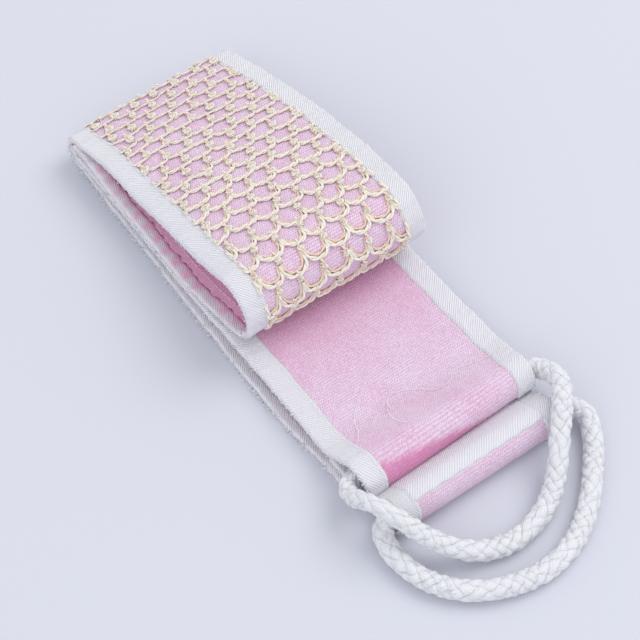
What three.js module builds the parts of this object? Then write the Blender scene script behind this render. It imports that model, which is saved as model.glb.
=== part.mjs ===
// Loofah back scrubber: a long towelling strap with a sisal net on its front, white tape round its
// edges, and a rope handle through a hem at each end. The strap lies folded in three layers:
// the bottom run, the middle run above it, and between them and the top a looped flap.
// Units are millimetres. X runs from the folds to the handles, Y across the strap, Z up.
import * as THREE from 'three';

// ---- Driving dimensions ----
const STRAP_WIDTH = 90;
const CLOTH_THICKNESS = 1.0;
const TAPE_THICKNESS = 0.45;
const TAPE_WIDTH = 10;
const NET_THICKNESS = 1.7;
const ROPE_DIAMETER = 9;
const PLY_GAP = 0.1;
const LAYER_GAP = 0.25;
const PIECE_GAP = 0.3;

const HINGE_X = 11.5;
const FOLD_LEAD = 0.8;
const FLAP_REACH = 145.4;
const FLAP_SLOPE = 12;
const END_A_X = 224;
const END_B_X = 245;
const NET_END_BOTTOM_X = 120;
const NET_END_MIDDLE_X = 104;
const HEM_TAIL_A = 22;
const HEM_TAIL_B = 2.5;
const SEAM_A_X = 202.4;
const SEAM_B_X = 226.3;
const SPLICE_LENGTH = 28;
const STITCH_RADIUS = 0.3;

// ---- Offsets from the strap's middle surface ----
const CLOTH_FACE = PLY_GAP / 2 + CLOTH_THICKNESS;
const TAPE_INNER = CLOTH_FACE + PLY_GAP;
const TAPE_FACE = TAPE_INNER + TAPE_THICKNESS;
const NET_INNER = CLOTH_FACE + 0.15;
const NET_FACE = NET_INNER + NET_THICKNESS;
const TAPE_REACH = STRAP_WIDTH / 2 - TAPE_WIDTH;
const CLOTH_HALF_WIDTH = STRAP_WIDTH / 2 - TAPE_THICKNESS - 0.15;
const BETWEEN_TAPES = TAPE_REACH - PIECE_GAP;

// ---- Heights of the middle surface in each layer ----
const Z_END = TAPE_FACE;
const Z_BOTTOM = NET_FACE;
const Z_TAIL = Z_END + 2 * TAPE_FACE + LAYER_GAP;
const Z_MIDDLE = Z_TAIL + 2 * TAPE_FACE + LAYER_GAP;
const Z_FLAP_LOW = Z_MIDDLE + 2 * (NET_FACE + LAYER_GAP);
const Z_FLAP_HIGH = Z_FLAP_LOW + 2 * TAPE_FACE + 0.4;

// ---- Hems: the rope's axis in each, and the strap's middle surface round it ----
const HEM_RADIUS = ROPE_DIAMETER / 2 + PIECE_GAP + TAPE_FACE;
const HEM_A = { x: END_A_X - TAPE_FACE - HEM_RADIUS, z: Z_TAIL + HEM_RADIUS, slope: 50 };
const HEM_B = { x: END_B_X - TAPE_FACE - HEM_RADIUS, z: Z_END + HEM_RADIUS, slope: 60 };
const HEM_SHIFT = 2;
const HEM_NARROWING = 0.9;

const radians = THREE.MathUtils.degToRad;

// X where the slanting side of a hem, which touches the hem's circle, reaches height z.
function slantX(hem, z) {
  const angle = radians(hem.slope);
  const touchX = hem.x - HEM_RADIUS * Math.sin(angle);
  const touchZ = hem.z + HEM_RADIUS * Math.cos(angle);
  return touchX + (z - touchZ) / Math.tan(angle);
}

// Side view of the strap's middle surface, from end B's tail to end A's tail. Each corner is rounded
// to `r`, lies `shift` to the side and is `stretch` times as wide. A named corner cuts the strap.
function strapCorners() {
  const foldX = NET_FACE;
  const bendX = FLAP_REACH - NET_FACE;
  const rise = Math.tan(radians(FLAP_SLOPE));
  const flapZ = (x) => Z_FLAP_HIGH + (x - HINGE_X) * rise;
  const halfTurn = 1 + Math.tan(radians(90 - FLAP_SLOPE) / 2);
  const foldRadius = (flapZ(foldX) - Z_BOTTOM) / halfTurn;
  const bendTurn = 1 + Math.tan(radians(90 + FLAP_SLOPE) / 2);
  const bendRadius = (flapZ(bendX) - Z_FLAP_LOW) / bendTurn;
  const innerRadius = (Z_FLAP_LOW - Z_MIDDLE) / 2;
  const innerX = HINGE_X - FOLD_LEAD - innerRadius;
  const tailStartB = slantX(HEM_B, Z_TAIL);
  const hemTopB = HEM_B.z + HEM_RADIUS;
  const hemTopA = HEM_A.z + HEM_RADIUS;
  const frontB = HEM_B.x + HEM_RADIUS;
  const frontA = HEM_A.x + HEM_RADIUS;
  return [
    { x: tailStartB - HEM_TAIL_B, z: Z_TAIL, shift: 2, stretch: 0.98, name: 'end_b' },
    { x: tailStartB, z: Z_TAIL, r: 2.4, shift: 2, stretch: 0.98 },
    { x: slantX(HEM_B, hemTopB), z: hemTopB, r: HEM_RADIUS, shift: 2, stretch: 0.91 },
    { x: frontB, z: hemTopB, r: HEM_RADIUS, shift: 2, stretch: 0.91 },
    { x: frontB, z: Z_END, r: HEM_RADIUS, shift: 2, stretch: 0.91 },
    { x: 200, z: Z_END, shift: 0.5 },
    { x: NET_END_BOTTOM_X + 15, z: Z_END, r: 40, shift: 0 },
    { x: NET_END_BOTTOM_X + 3, z: Z_BOTTOM, r: 40, shift: 0 },
    { x: NET_END_BOTTOM_X, z: Z_BOTTOM, shift: 0, name: 'net_start' },
    { x: HINGE_X, z: Z_BOTTOM, shift: 3, name: 'outer_fold_start' },
    { x: foldX, z: Z_BOTTOM, r: foldRadius, shift: 3 },
    { x: foldX, z: flapZ(foldX), r: foldRadius, shift: 3 },
    { x: HINGE_X, z: flapZ(HINGE_X), shift: 3, name: 'outer_fold_end' },
    { x: 60, z: flapZ(60), shift: 5.5 },
    { x: bendX, z: flapZ(bendX), r: bendRadius, shift: 5 },
    { x: bendX, z: Z_FLAP_LOW, r: bendRadius, shift: 5 },
    { x: HINGE_X, z: Z_FLAP_LOW, shift: 3, name: 'inner_fold_start' },
    { x: innerX, z: Z_FLAP_LOW, r: innerRadius, shift: 3 },
    { x: innerX, z: Z_MIDDLE, r: innerRadius, shift: 3 },
    { x: HINGE_X, z: Z_MIDDLE, shift: 3, name: 'inner_fold_end' },
    { x: NET_END_MIDDLE_X, z: Z_MIDDLE, shift: 0, name: 'net_end' },
    { x: slantX(HEM_A, Z_MIDDLE), z: Z_MIDDLE, r: 4, shift: 1 },
    { x: slantX(HEM_A, hemTopA), z: hemTopA, r: HEM_RADIUS, shift: 2, stretch: 0.91 },
    { x: frontA, z: hemTopA, r: HEM_RADIUS, shift: 2, stretch: 0.91 },
    { x: frontA, z: Z_TAIL, r: HEM_RADIUS, shift: 2, stretch: 0.91 },
    { x: frontA - HEM_TAIL_A, z: Z_TAIL, shift: 2, stretch: 0.98, name: 'end_a' },
  ];
}

// ---- The strap's path, as stations with a place, a direction and a normal to the front cloth ----
const ARC_STEP = radians(18);
const LINE_STEP = 28;
const SHORTEST_RUN = 0.01;

function station(x, z, dx, dz, lay, name) {
  return { x, z, dx, dz, nx: -dz, nz: dx, shift: lay.shift, stretch: lay.stretch, name };
}

function layBetween(a, b, t) {
  const smooth = t * t * (3 - 2 * t);
  return {
    shift: THREE.MathUtils.lerp(a.shift, b.shift, smooth),
    stretch: THREE.MathUtils.lerp(a.stretch, b.stretch, smooth),
  };
}

function roundedPath(corners) {
  const points = corners.map((corner) => ({ r: 0, stretch: 1, ...corner }));
  const heading = (a, b) => {
    const length = Math.hypot(b.x - a.x, b.z - a.z);
    return [(b.x - a.x) / length, (b.z - a.z) / length];
  };
  const stations = [];
  let last = points[0];
  let [dx, dz] = heading(points[0], points[1]);
  stations.push(station(last.x, last.z, dx, dz, points[0], points[0].name));
  for (let i = 1; i < points.length; i += 1) {
    const corner = points[i];
    const next = points[i + 1];
    const [ex, ez] = next ? heading(corner, next) : [dx, dz];
    const turn = Math.atan2(dx * ez - dz * ex, dx * ex + dz * ez);
    const cut = corner.r * Math.tan(Math.abs(turn) / 2);
    const start = { x: corner.x - dx * cut, z: corner.z - dz * cut };
    const run = Math.hypot(start.x - last.x, start.z - last.z);
    const lineSteps = run > SHORTEST_RUN ? Math.ceil(run / LINE_STEP) : 0;
    for (let k = 1; k <= lineSteps; k += 1) {
      const t = k / lineSteps;
      const lay = layBetween(points[i - 1], corner, t);
      const x = THREE.MathUtils.lerp(last.x, start.x, t);
      const z = THREE.MathUtils.lerp(last.z, start.z, t);
      stations.push(station(x, z, dx, dz, lay, k === lineSteps ? corner.name : undefined));
    }
    if (cut > 0) {
      const side = Math.sign(turn);
      const centreX = start.x - dz * side * corner.r;
      const centreZ = start.z + dx * side * corner.r;
      const arcSteps = Math.max(2, Math.ceil(Math.abs(turn) / ARC_STEP));
      for (let k = 1; k <= arcSteps; k += 1) {
        const angle = (turn * k) / arcSteps;
        const hx = dx * Math.cos(angle) - dz * Math.sin(angle);
        const hz = dz * Math.cos(angle) + dx * Math.sin(angle);
        const x = centreX + hz * side * corner.r;
        const z = centreZ - hx * side * corner.r;
        stations.push(station(x, z, hx, hz, corner));
      }
    }
    last = stations[stations.length - 1];
    [dx, dz] = [ex, ez];
  }
  return stations;
}

const STRAP = roundedPath(strapCorners());

// The stations from one named cut to another, drawn in by half a piece gap at each end.
function stretchOfStrap(from, to) {
  const first = STRAP.findIndex((s) => s.name === from);
  const last = STRAP.findIndex((s) => s.name === to);
  const part = STRAP.slice(first, last + 1).map((s) => ({ ...s }));
  const start = part[0];
  const end = part[part.length - 1];
  start.x += (start.dx * PIECE_GAP) / 2;
  start.z += (start.dz * PIECE_GAP) / 2;
  end.x -= (end.dx * PIECE_GAP) / 2;
  end.z -= (end.dz * PIECE_GAP) / 2;
  return part;
}

// ---- Shapes ----

// Closed body of a cross-section, given as [across, offset] points, swept along stations.
function sweep(section, stations) {
  const toVector = ([across, offset]) => new THREE.Vector2(across, offset);
  const clockwise = THREE.ShapeUtils.area(section.map(toVector)) < 0;
  const outline = clockwise ? [...section].reverse() : section;
  const positions = [];
  for (const s of stations) {
    for (const [across, offset] of outline) {
      positions.push(s.x + s.nx * offset, s.shift + across * s.stretch, s.z + s.nz * offset);
    }
  }
  const count = outline.length;
  const faces = [];
  for (let i = 0; i + 1 < stations.length; i += 1) {
    for (let j = 0; j < count; j += 1) {
      const a = i * count + j;
      const b = i * count + ((j + 1) % count);
      faces.push([a, b, a + count], [b, b + count, a + count]);
    }
  }
  const lastRing = (stations.length - 1) * count;
  for (const [a, b, c] of THREE.ShapeUtils.triangulateShape(outline.map(toVector), [])) {
    faces.push([c, b, a], [lastRing + a, lastRing + b, lastRing + c]);
  }
  const geometry = new THREE.BufferGeometry();
  geometry.setAttribute('position', new THREE.Float32BufferAttribute(positions, 3));
  geometry.setIndex(faces.flat());
  geometry.computeVertexNormals();
  return geometry;
}

function band(halfWidth, inner, outer) {
  return [
    [-halfWidth, inner],
    [halfWidth, inner],
    [halfWidth, outer],
    [-halfWidth, outer],
  ];
}

// The edge tape's section: a U folded over the strap's edge. Side is -1 on the left and 1 on the right.
function tapeSection(side) {
  const edge = (side * STRAP_WIDTH) / 2;
  const fold = edge - side * TAPE_THICKNESS;
  const reach = side * TAPE_REACH;
  return [
    [edge, -TAPE_FACE],
    [edge, TAPE_FACE],
    [reach, TAPE_FACE],
    [reach, TAPE_INNER],
    [fold, TAPE_INNER],
    [fold, -TAPE_INNER],
    [reach, -TAPE_INNER],
    [reach, -TAPE_FACE],
  ];
}

// Side view extruded across the strap between its edge tapes.
function acrossStrap(outline, halfLength) {
  const shape = new THREE.Shape(outline.map(([x, z]) => new THREE.Vector2(x, z)));
  const geometry = new THREE.ExtrudeGeometry(shape, { depth: 2 * halfLength, bevelEnabled: false });
  geometry.rotateX(Math.PI / 2);
  geometry.translate(0, HEM_SHIFT + halfLength, 0);
  return geometry;
}

// Tape folded over a tail's raw end, given the tail's stations from that end inwards.
function endTape(stations, towardsEnd) {
  const face = (offset) => stations.map((s) => [s.x + s.nx * offset, s.z + s.nz * offset]);
  const end = stations[0];
  const push = TAPE_THICKNESS + 0.15;
  const tip = (offset) => [
    end.x + towardsEnd * end.dx * push + end.nx * offset,
    end.z + towardsEnd * end.dz * push + end.nz * offset,
  ];
  const lip = (offset) => [
    end.x + towardsEnd * end.dx * 0.15 + end.nx * offset,
    end.z + towardsEnd * end.dz * 0.15 + end.nz * offset,
  ];
  const outline = [
    tip(TAPE_FACE),
    ...face(TAPE_FACE).slice(1),
    ...face(TAPE_INNER).slice(1).reverse(),
    lip(TAPE_INNER),
    lip(-TAPE_INNER),
    ...face(-TAPE_INNER).slice(1),
    ...face(-TAPE_FACE).slice(1).reverse(),
    tip(-TAPE_FACE),
  ];
  return acrossStrap(outline, BETWEEN_TAPES * HEM_NARROWING);
}

function rope(points) {
  const path = new THREE.CatmullRomCurve3(points.map(([x, y, z]) => new THREE.Vector3(x, y, z)));
  const sides = 10;
  const outline = [];
  for (let i = 0; i < sides; i += 1) {
    const angle = (2 * Math.PI * i) / sides;
    const radius = ROPE_DIAMETER / 2;
    outline.push(new THREE.Vector2(radius * Math.cos(angle), radius * Math.sin(angle)));
  }
  const settings = { steps: 64, bevelEnabled: false, extrudePath: path };
  return new THREE.ExtrudeGeometry(new THREE.Shape(outline), settings);
}

function splice(hem) {
  const geometry = new THREE.CylinderGeometry(ROPE_DIAMETER / 2, ROPE_DIAMETER / 2, SPLICE_LENGTH, 16);
  geometry.translate(hem.x, HEM_SHIFT, hem.z);
  return geometry;
}

function stitchLine(x, z) {
  const length = 2 * BETWEEN_TAPES * HEM_NARROWING;
  const geometry = new THREE.CylinderGeometry(STITCH_RADIUS, STITCH_RADIUS, length, 8);
  geometry.translate(x, HEM_SHIFT, z);
  return geometry;
}

// ---- Rope routes: out of one side of the hem, round the free loop and back into the other side ----
const SPLICE_END = SPLICE_LENGTH / 2 + PIECE_GAP;

const ROPE_A_ROUTE = [
  [HEM_A.x, HEM_SHIFT + SPLICE_END, HEM_A.z],
  [HEM_A.x, 30, HEM_A.z],
  [HEM_A.x, 40, HEM_A.z],
  [216.2, 44.2, 11.5],
  [218.4, 49.4, 12],
  [223.8, 51.4, 14.2],
  [231.5, 49.4, 18.8],
  [238.5, 44.6, 21.4],
  [245, 39, 19.6],
  [251, 33.5, 15.6],
  [258, 27, 11],
  [265, 18.5, 7],
  [270, 7, 4.9],
  [271.5, -7, 4.7],
  [268, -19, 5.6],
  [262, -28, 9],
  [255.5, -34.5, 13.6],
  [248, -39.4, 18],
  [240, -43.4, 21.2],
  [232.5, -46, 19.8],
  [224.4, -47.8, 14.8],
  [218.3, -46, 12],
  [HEM_A.x, -40.6, HEM_A.z],
  [HEM_A.x, -26, HEM_A.z],
  [HEM_A.x, HEM_SHIFT - SPLICE_END, HEM_A.z],
];

const ROPE_B_ROUTE = [
  [HEM_B.x, HEM_SHIFT + SPLICE_END, HEM_B.z],
  [HEM_B.x, 32, HEM_B.z],
  [HEM_B.x, 44, HEM_B.z],
  [238.6, 50.8, 7.4],
  [244.4, 54, 6],
  [254.4, 49.4, 4.9],
  [265.4, 40, 4.7],
  [276.5, 28, 4.6],
  [285, 14, 4.6],
  [288.5, -1, 4.6],
  [287, -15, 4.6],
  [282.5, -26.5, 4.6],
  [275.5, -36, 4.6],
  [266, -43, 4.7],
  [256, -46.2, 4.9],
  [246, -46.8, 5.6],
  [239.3, -44.6, 7.2],
  [HEM_B.x, -39.6, HEM_B.z],
  [HEM_B.x, -25, HEM_B.z],
  [HEM_B.x, HEM_SHIFT - SPLICE_END, HEM_B.z],
];

// ---- Materials ----
const materials = {
  frontCloth: { color: 0xe5c0d9, roughness: 0.95 },
  backCloth: { color: 0xdc9cc4, roughness: 0.95 },
  net: { color: 0xeee8d0, roughness: 0.85 },
  tape: { color: 0xf0f0f6, roughness: 0.9 },
  rope: { color: 0xf7f7f5, roughness: 0.8 },
  thread: { color: 0xfafafa, roughness: 0.7 },
};

function mesh(name, geometry, look) {
  const material = new THREE.MeshStandardMaterial({ ...materials[look], metalness: 0 });
  const piece = new THREE.Mesh(geometry, material);
  piece.name = name;
  return piece;
}

// ---- Assembly ----
const SEGMENTS = [
  { name: 'bottom', from: 'end_b', to: 'outer_fold_start', netFrom: 'net_start' },
  { name: 'outer_fold', from: 'outer_fold_start', to: 'outer_fold_end' },
  { name: 'flap', from: 'outer_fold_end', to: 'inner_fold_start' },
  { name: 'inner_fold', from: 'inner_fold_start', to: 'inner_fold_end' },
  { name: 'middle', from: 'inner_fold_end', to: 'end_a', netTo: 'net_end' },
];

function strapSegment({ name, from, to, netFrom, netTo }) {
  const stations = stretchOfStrap(from, to);
  const netStations = stretchOfStrap(netFrom ?? from, netTo ?? to);
  const group = new THREE.Group();
  group.add(
    mesh(`front_cloth_${name}`, sweep(band(CLOTH_HALF_WIDTH, PLY_GAP / 2, CLOTH_FACE), stations), 'frontCloth'),
    mesh(`back_cloth_${name}`, sweep(band(CLOTH_HALF_WIDTH, -CLOTH_FACE, -PLY_GAP / 2), stations), 'backCloth'),
    mesh(`net_${name}`, sweep(band(BETWEEN_TAPES, NET_INNER, NET_FACE), netStations), 'net'),
    mesh(`left_tape_${name}`, sweep(tapeSection(-1), stations), 'tape'),
    mesh(`right_tape_${name}`, sweep(tapeSection(1), stations), 'tape'),
  );
  return group;
}

// The tail's stations, from its raw end inwards, over about one tape width.
function tailStations(from, to, reversed) {
  const all = stretchOfStrap(from, to);
  const ordered = reversed ? [...all].reverse() : all;
  const tail = [ordered[0]];
  let length = 0;
  for (let i = 1; i < ordered.length && length < TAPE_WIDTH; i += 1) {
    const step = Math.hypot(ordered[i].x - ordered[i - 1].x, ordered[i].z - ordered[i - 1].z);
    const t = Math.min(1, (TAPE_WIDTH - length) / step);
    const x = THREE.MathUtils.lerp(ordered[i - 1].x, ordered[i].x, t);
    const z = THREE.MathUtils.lerp(ordered[i - 1].z, ordered[i].z, t);
    tail.push({ ...ordered[i], x, z });
    length += step * t;
  }
  return tail;
}

const strap = new THREE.Group();
for (const segment of SEGMENTS) {
  strap.add(strapSegment(segment));
}
strap.add(
  mesh('end_tape_a', endTape(tailStations('inner_fold_end', 'end_a', true), 1), 'tape'),
  mesh('end_tape_b', endTape(tailStations('end_b', 'outer_fold_start', false), -1), 'tape'),
  mesh('hem_seam_a', stitchLine(SEAM_A_X, Z_MIDDLE + CLOTH_FACE + 0.1 + STITCH_RADIUS), 'thread'),
  mesh('hem_seam_b', stitchLine(SEAM_B_X, Z_TAIL + TAPE_FACE + 0.1 + STITCH_RADIUS), 'thread'),
);

const handles = new THREE.Group();
handles.add(
  mesh('rope_a', rope(ROPE_A_ROUTE), 'rope'),
  mesh('rope_b', rope(ROPE_B_ROUTE), 'rope'),
  mesh('rope_splice_a', splice(HEM_A), 'rope'),
  mesh('rope_splice_b', splice(HEM_B), 'rope'),
);

// The origin is at the middle of the strap's underside.
const scrubber = new THREE.Group();
scrubber.add(strap, handles);
const box = new THREE.Box3().setFromObject(strap);
const centre = box.getCenter(new THREE.Vector3());
scrubber.position.set(-centre.x, -centre.y, -box.min.z);

export default scrubber;
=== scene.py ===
"""A loofah back scrubber: a towelling strap with a sisal net on its front, white tape round its edges
and a braided rope handle through a hem at each end, lying folded in three layers.

Lengths are in metres. The strap's side view is drawn with X from the folds to the handles, Y across
the strap and Z up, and `place` moves that drawing into the frame that the CAD model is in."""
import math

import bpy
import numpy as np
from mathutils import Matrix, Vector


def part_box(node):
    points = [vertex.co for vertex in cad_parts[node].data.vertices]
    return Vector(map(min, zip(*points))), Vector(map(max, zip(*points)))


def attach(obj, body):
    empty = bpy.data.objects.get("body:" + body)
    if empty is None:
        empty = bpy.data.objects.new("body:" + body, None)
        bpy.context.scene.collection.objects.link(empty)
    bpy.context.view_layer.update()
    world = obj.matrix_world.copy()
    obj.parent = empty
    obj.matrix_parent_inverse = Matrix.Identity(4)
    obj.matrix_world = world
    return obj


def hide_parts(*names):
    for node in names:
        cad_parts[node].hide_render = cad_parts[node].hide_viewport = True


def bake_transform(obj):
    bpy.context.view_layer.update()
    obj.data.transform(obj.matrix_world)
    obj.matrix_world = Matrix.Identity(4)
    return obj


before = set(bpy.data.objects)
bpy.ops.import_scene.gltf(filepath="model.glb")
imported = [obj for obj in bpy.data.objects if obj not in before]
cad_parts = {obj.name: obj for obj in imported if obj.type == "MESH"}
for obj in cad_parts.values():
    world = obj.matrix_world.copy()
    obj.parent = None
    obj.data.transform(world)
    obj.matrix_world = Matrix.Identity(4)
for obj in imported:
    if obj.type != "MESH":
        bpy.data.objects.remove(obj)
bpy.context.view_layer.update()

noise_source = np.random.default_rng(7)

# ---- Driving dimensions, the same as the CAD model's ----
STRAP_WIDTH = 0.090
CLOTH_THICKNESS = 0.0010
TAPE_THICKNESS = 0.00045
TAPE_WIDTH = 0.010
NET_THICKNESS = 0.0017
ROPE_DIAMETER = 0.009
PLY_GAP = 0.0001
LAYER_GAP = 0.00025
PIECE_GAP = 0.0003
NET_GAP = 0.00015
HINGE_X = 0.0115
FOLD_LEAD = 0.0008
FLAP_REACH = 0.1454
FLAP_SLOPE = math.radians(12)
END_A_X = 0.224
END_B_X = 0.245
NET_START_X = 0.120
NET_END_X = 0.104
HEM_TAIL_A = 0.022
HEM_SHIFT = 0.002
SPLICE_END = 0.0143

# ---- Dimensions that follow the photograph more closely than the CAD model does ----
HEM_TAIL_B = 0.0010
HEM_SLOPE_A = math.radians(30)
HEM_SLOPE_B = math.radians(40)
SEAM_A_X = 0.1975
SEAM_B_ALONG = 0.0022
FOLD_SKEW = -0.0035
END_TAPE_A = 0.010
END_TAPE_B = 0.0200
BACK_TAPE_WIDTH = 0.0052
HEM_PATH = 0.050  # how much of the strap at each end runs through a hem, and stays smooth
LEAST_HEIGHT = 0.00005  # nothing dips lower than this towards the floor

HALF_WIDTH = STRAP_WIDTH / 2
CLOTH_FACE = PLY_GAP / 2 + CLOTH_THICKNESS
TAPE_INNER = CLOTH_FACE + PLY_GAP
TAPE_FACE = TAPE_INNER + TAPE_THICKNESS
NET_INNER = CLOTH_FACE + NET_GAP
NET_FACE = NET_INNER + NET_THICKNESS
TAPE_REACH = HALF_WIDTH - TAPE_WIDTH
BACK_TAPE_REACH = HALF_WIDTH - BACK_TAPE_WIDTH
# The band along the back tape's inner edge over which its painted pink shade fades out.
TAPE_FADE = (BACK_TAPE_REACH - 0.0010, BACK_TAPE_REACH + 0.0034)

Z_END = TAPE_FACE
Z_BOTTOM = NET_FACE
Z_TAIL = Z_END + 2 * TAPE_FACE + LAYER_GAP
Z_MIDDLE = Z_TAIL + 2 * TAPE_FACE + LAYER_GAP
Z_FLAP_LOW = Z_MIDDLE + 2 * (NET_FACE + LAYER_GAP)
Z_FLAP_HIGH = Z_FLAP_LOW + 2 * TAPE_FACE + 0.0004

HEM_RADIUS = ROPE_DIAMETER / 2 + PIECE_GAP + TAPE_FACE
HEM_A = {"x": END_A_X - TAPE_FACE - HEM_RADIUS, "z": Z_TAIL + HEM_RADIUS, "slope": HEM_SLOPE_A}
HEM_B = {"x": END_B_X - TAPE_FACE - HEM_RADIUS, "z": Z_END + HEM_RADIUS, "slope": HEM_SLOPE_B}

# The drawing's x = 0 is the folds' outer end, and its y = 0 is the strap's middle where it lies straight.
DRAWING_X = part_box("net_outer_fold")[0].x
DRAWING_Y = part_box("left_tape_middle")[0].y + HALF_WIDTH


def place(points):
    """Drawing points as an array in the CAD model's frame."""
    return np.asarray(points, float) + np.array([DRAWING_X, DRAWING_Y, 0.0])


# ---- The strap's middle surface ----


def slant_x(hem, z):
    """X where a hem's slanting side, which touches the hem's circle, reaches height z."""
    touch_x = hem["x"] - HEM_RADIUS * math.sin(hem["slope"])
    touch_z = hem["z"] + HEM_RADIUS * math.cos(hem["slope"])
    return touch_x + (z - touch_z) / math.tan(hem["slope"])


def corner(x, z, left, right, r=0.0, name=None, lean=0.0, droop=0.0, skew=0.0):
    """A corner of the side view, rounded to r, with the strap's left and right edges there. The left
    edge is `lean` further along X and hangs down by `droop`; the right edge is `skew` further along X."""
    return dict(x=x, z=z, left=left, right=right, r=r, name=name, lean=lean, droop=droop, skew=skew)


def strap_corners():
    """Side view from end B's tail to end A's tail, and how far each edge lies from the middle line."""
    fold_x = NET_FACE
    bend_x = FLAP_REACH - NET_FACE

    def flap_z(x):
        return Z_FLAP_HIGH + (x - HINGE_X) * math.tan(FLAP_SLOPE)

    fold_radius = (flap_z(fold_x) - Z_BOTTOM) / (1 + math.tan((math.pi / 2 - FLAP_SLOPE) / 2))
    bend_radius = (flap_z(bend_x) - Z_FLAP_LOW) / (1 + math.tan((math.pi / 2 + FLAP_SLOPE) / 2))
    inner_radius = (Z_FLAP_LOW - Z_MIDDLE) / 2
    inner_x = HINGE_X - FOLD_LEAD - inner_radius
    tail_b = slant_x(HEM_B, Z_TAIL)
    top_a = HEM_A["z"] + HEM_RADIUS
    top_b = HEM_B["z"] + HEM_RADIUS
    front_a = HEM_A["x"] + HEM_RADIUS
    front_b = HEM_B["x"] + HEM_RADIUS
    return [
        corner(tail_b - HEM_TAIL_B, Z_TAIL, -0.0405, 0.0440, name="end_b"),
        corner(tail_b, Z_TAIL, -0.0405, 0.0440, r=0.0024),
        corner(slant_x(HEM_B, top_b), top_b, -0.0385, 0.0430, r=HEM_RADIUS),
        corner(front_b, top_b, -0.0385, 0.0430, r=HEM_RADIUS),
        corner(front_b, Z_END, -0.0395, 0.0435, r=HEM_RADIUS),
        corner(0.205, Z_END, -0.0440, 0.0455),
        corner(0.172, Z_END, -0.0457, 0.0445),
        corner(NET_START_X + 0.015, Z_END, -0.0455, 0.0445, r=0.040),
        corner(NET_START_X + 0.003, Z_BOTTOM, -0.0452, 0.0448, r=0.040),
        corner(NET_START_X, Z_BOTTOM, -0.0452, 0.0448, name="net_start"),
        corner(0.047, Z_BOTTOM, -0.0430, 0.0465),
        corner(HINGE_X, Z_BOTTOM, -0.0415, 0.0465, name="outer_fold_start", skew=FOLD_SKEW),
        corner(fold_x, Z_BOTTOM, -0.0415, 0.0455, r=fold_radius, skew=FOLD_SKEW),
        corner(fold_x, flap_z(fold_x), -0.0415, 0.0455, r=fold_radius, skew=FOLD_SKEW),
        corner(HINGE_X, flap_z(HINGE_X), -0.0412, 0.0465, name="outer_fold_end", skew=FOLD_SKEW),
        corner(0.030, flap_z(0.030), -0.0392, 0.0495, droop=0.0020, skew=FOLD_SKEW / 2),
        corner(0.065, flap_z(0.065), -0.0390, 0.0522, droop=0.0050),
        corner(0.100, flap_z(0.100), -0.0395, 0.0515, droop=0.0055),
        corner(bend_x, flap_z(bend_x), -0.0402, 0.0490, r=bend_radius, droop=0.0020),
        corner(bend_x, Z_FLAP_LOW, -0.0402, 0.0490, r=bend_radius, droop=0.0020),
        corner(0.097, Z_FLAP_LOW, -0.0440, 0.0470),
        corner(0.045, Z_FLAP_LOW, -0.0432, 0.0490),
        corner(HINGE_X, Z_FLAP_LOW, -0.0420, 0.0480, name="inner_fold_start"),
        corner(inner_x, Z_FLAP_LOW, -0.0420, 0.0480, r=inner_radius),
        corner(inner_x, Z_MIDDLE, -0.0420, 0.0480, r=inner_radius),
        corner(HINGE_X, Z_MIDDLE, -0.0420, 0.0480, name="inner_fold_end"),
        corner(NET_END_X, Z_MIDDLE, -0.0430, 0.0470, name="net_end"),
        corner(0.165, Z_MIDDLE, -0.0425, 0.0475),
        corner(slant_x(HEM_A, Z_MIDDLE), Z_MIDDLE, -0.0430, 0.0480, r=0.020),
        corner(slant_x(HEM_A, top_a), top_a, -0.0422, 0.0454, r=HEM_RADIUS),
        corner(front_a, top_a, -0.0420, 0.0450, r=HEM_RADIUS, lean=0.0034),
        corner(front_a, Z_TAIL, -0.0418, 0.0450, r=HEM_RADIUS, lean=0.0034),
        corner(front_a - HEM_TAIL_A, Z_TAIL, -0.0420, 0.0450, name="end_a"),
    ]


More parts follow.
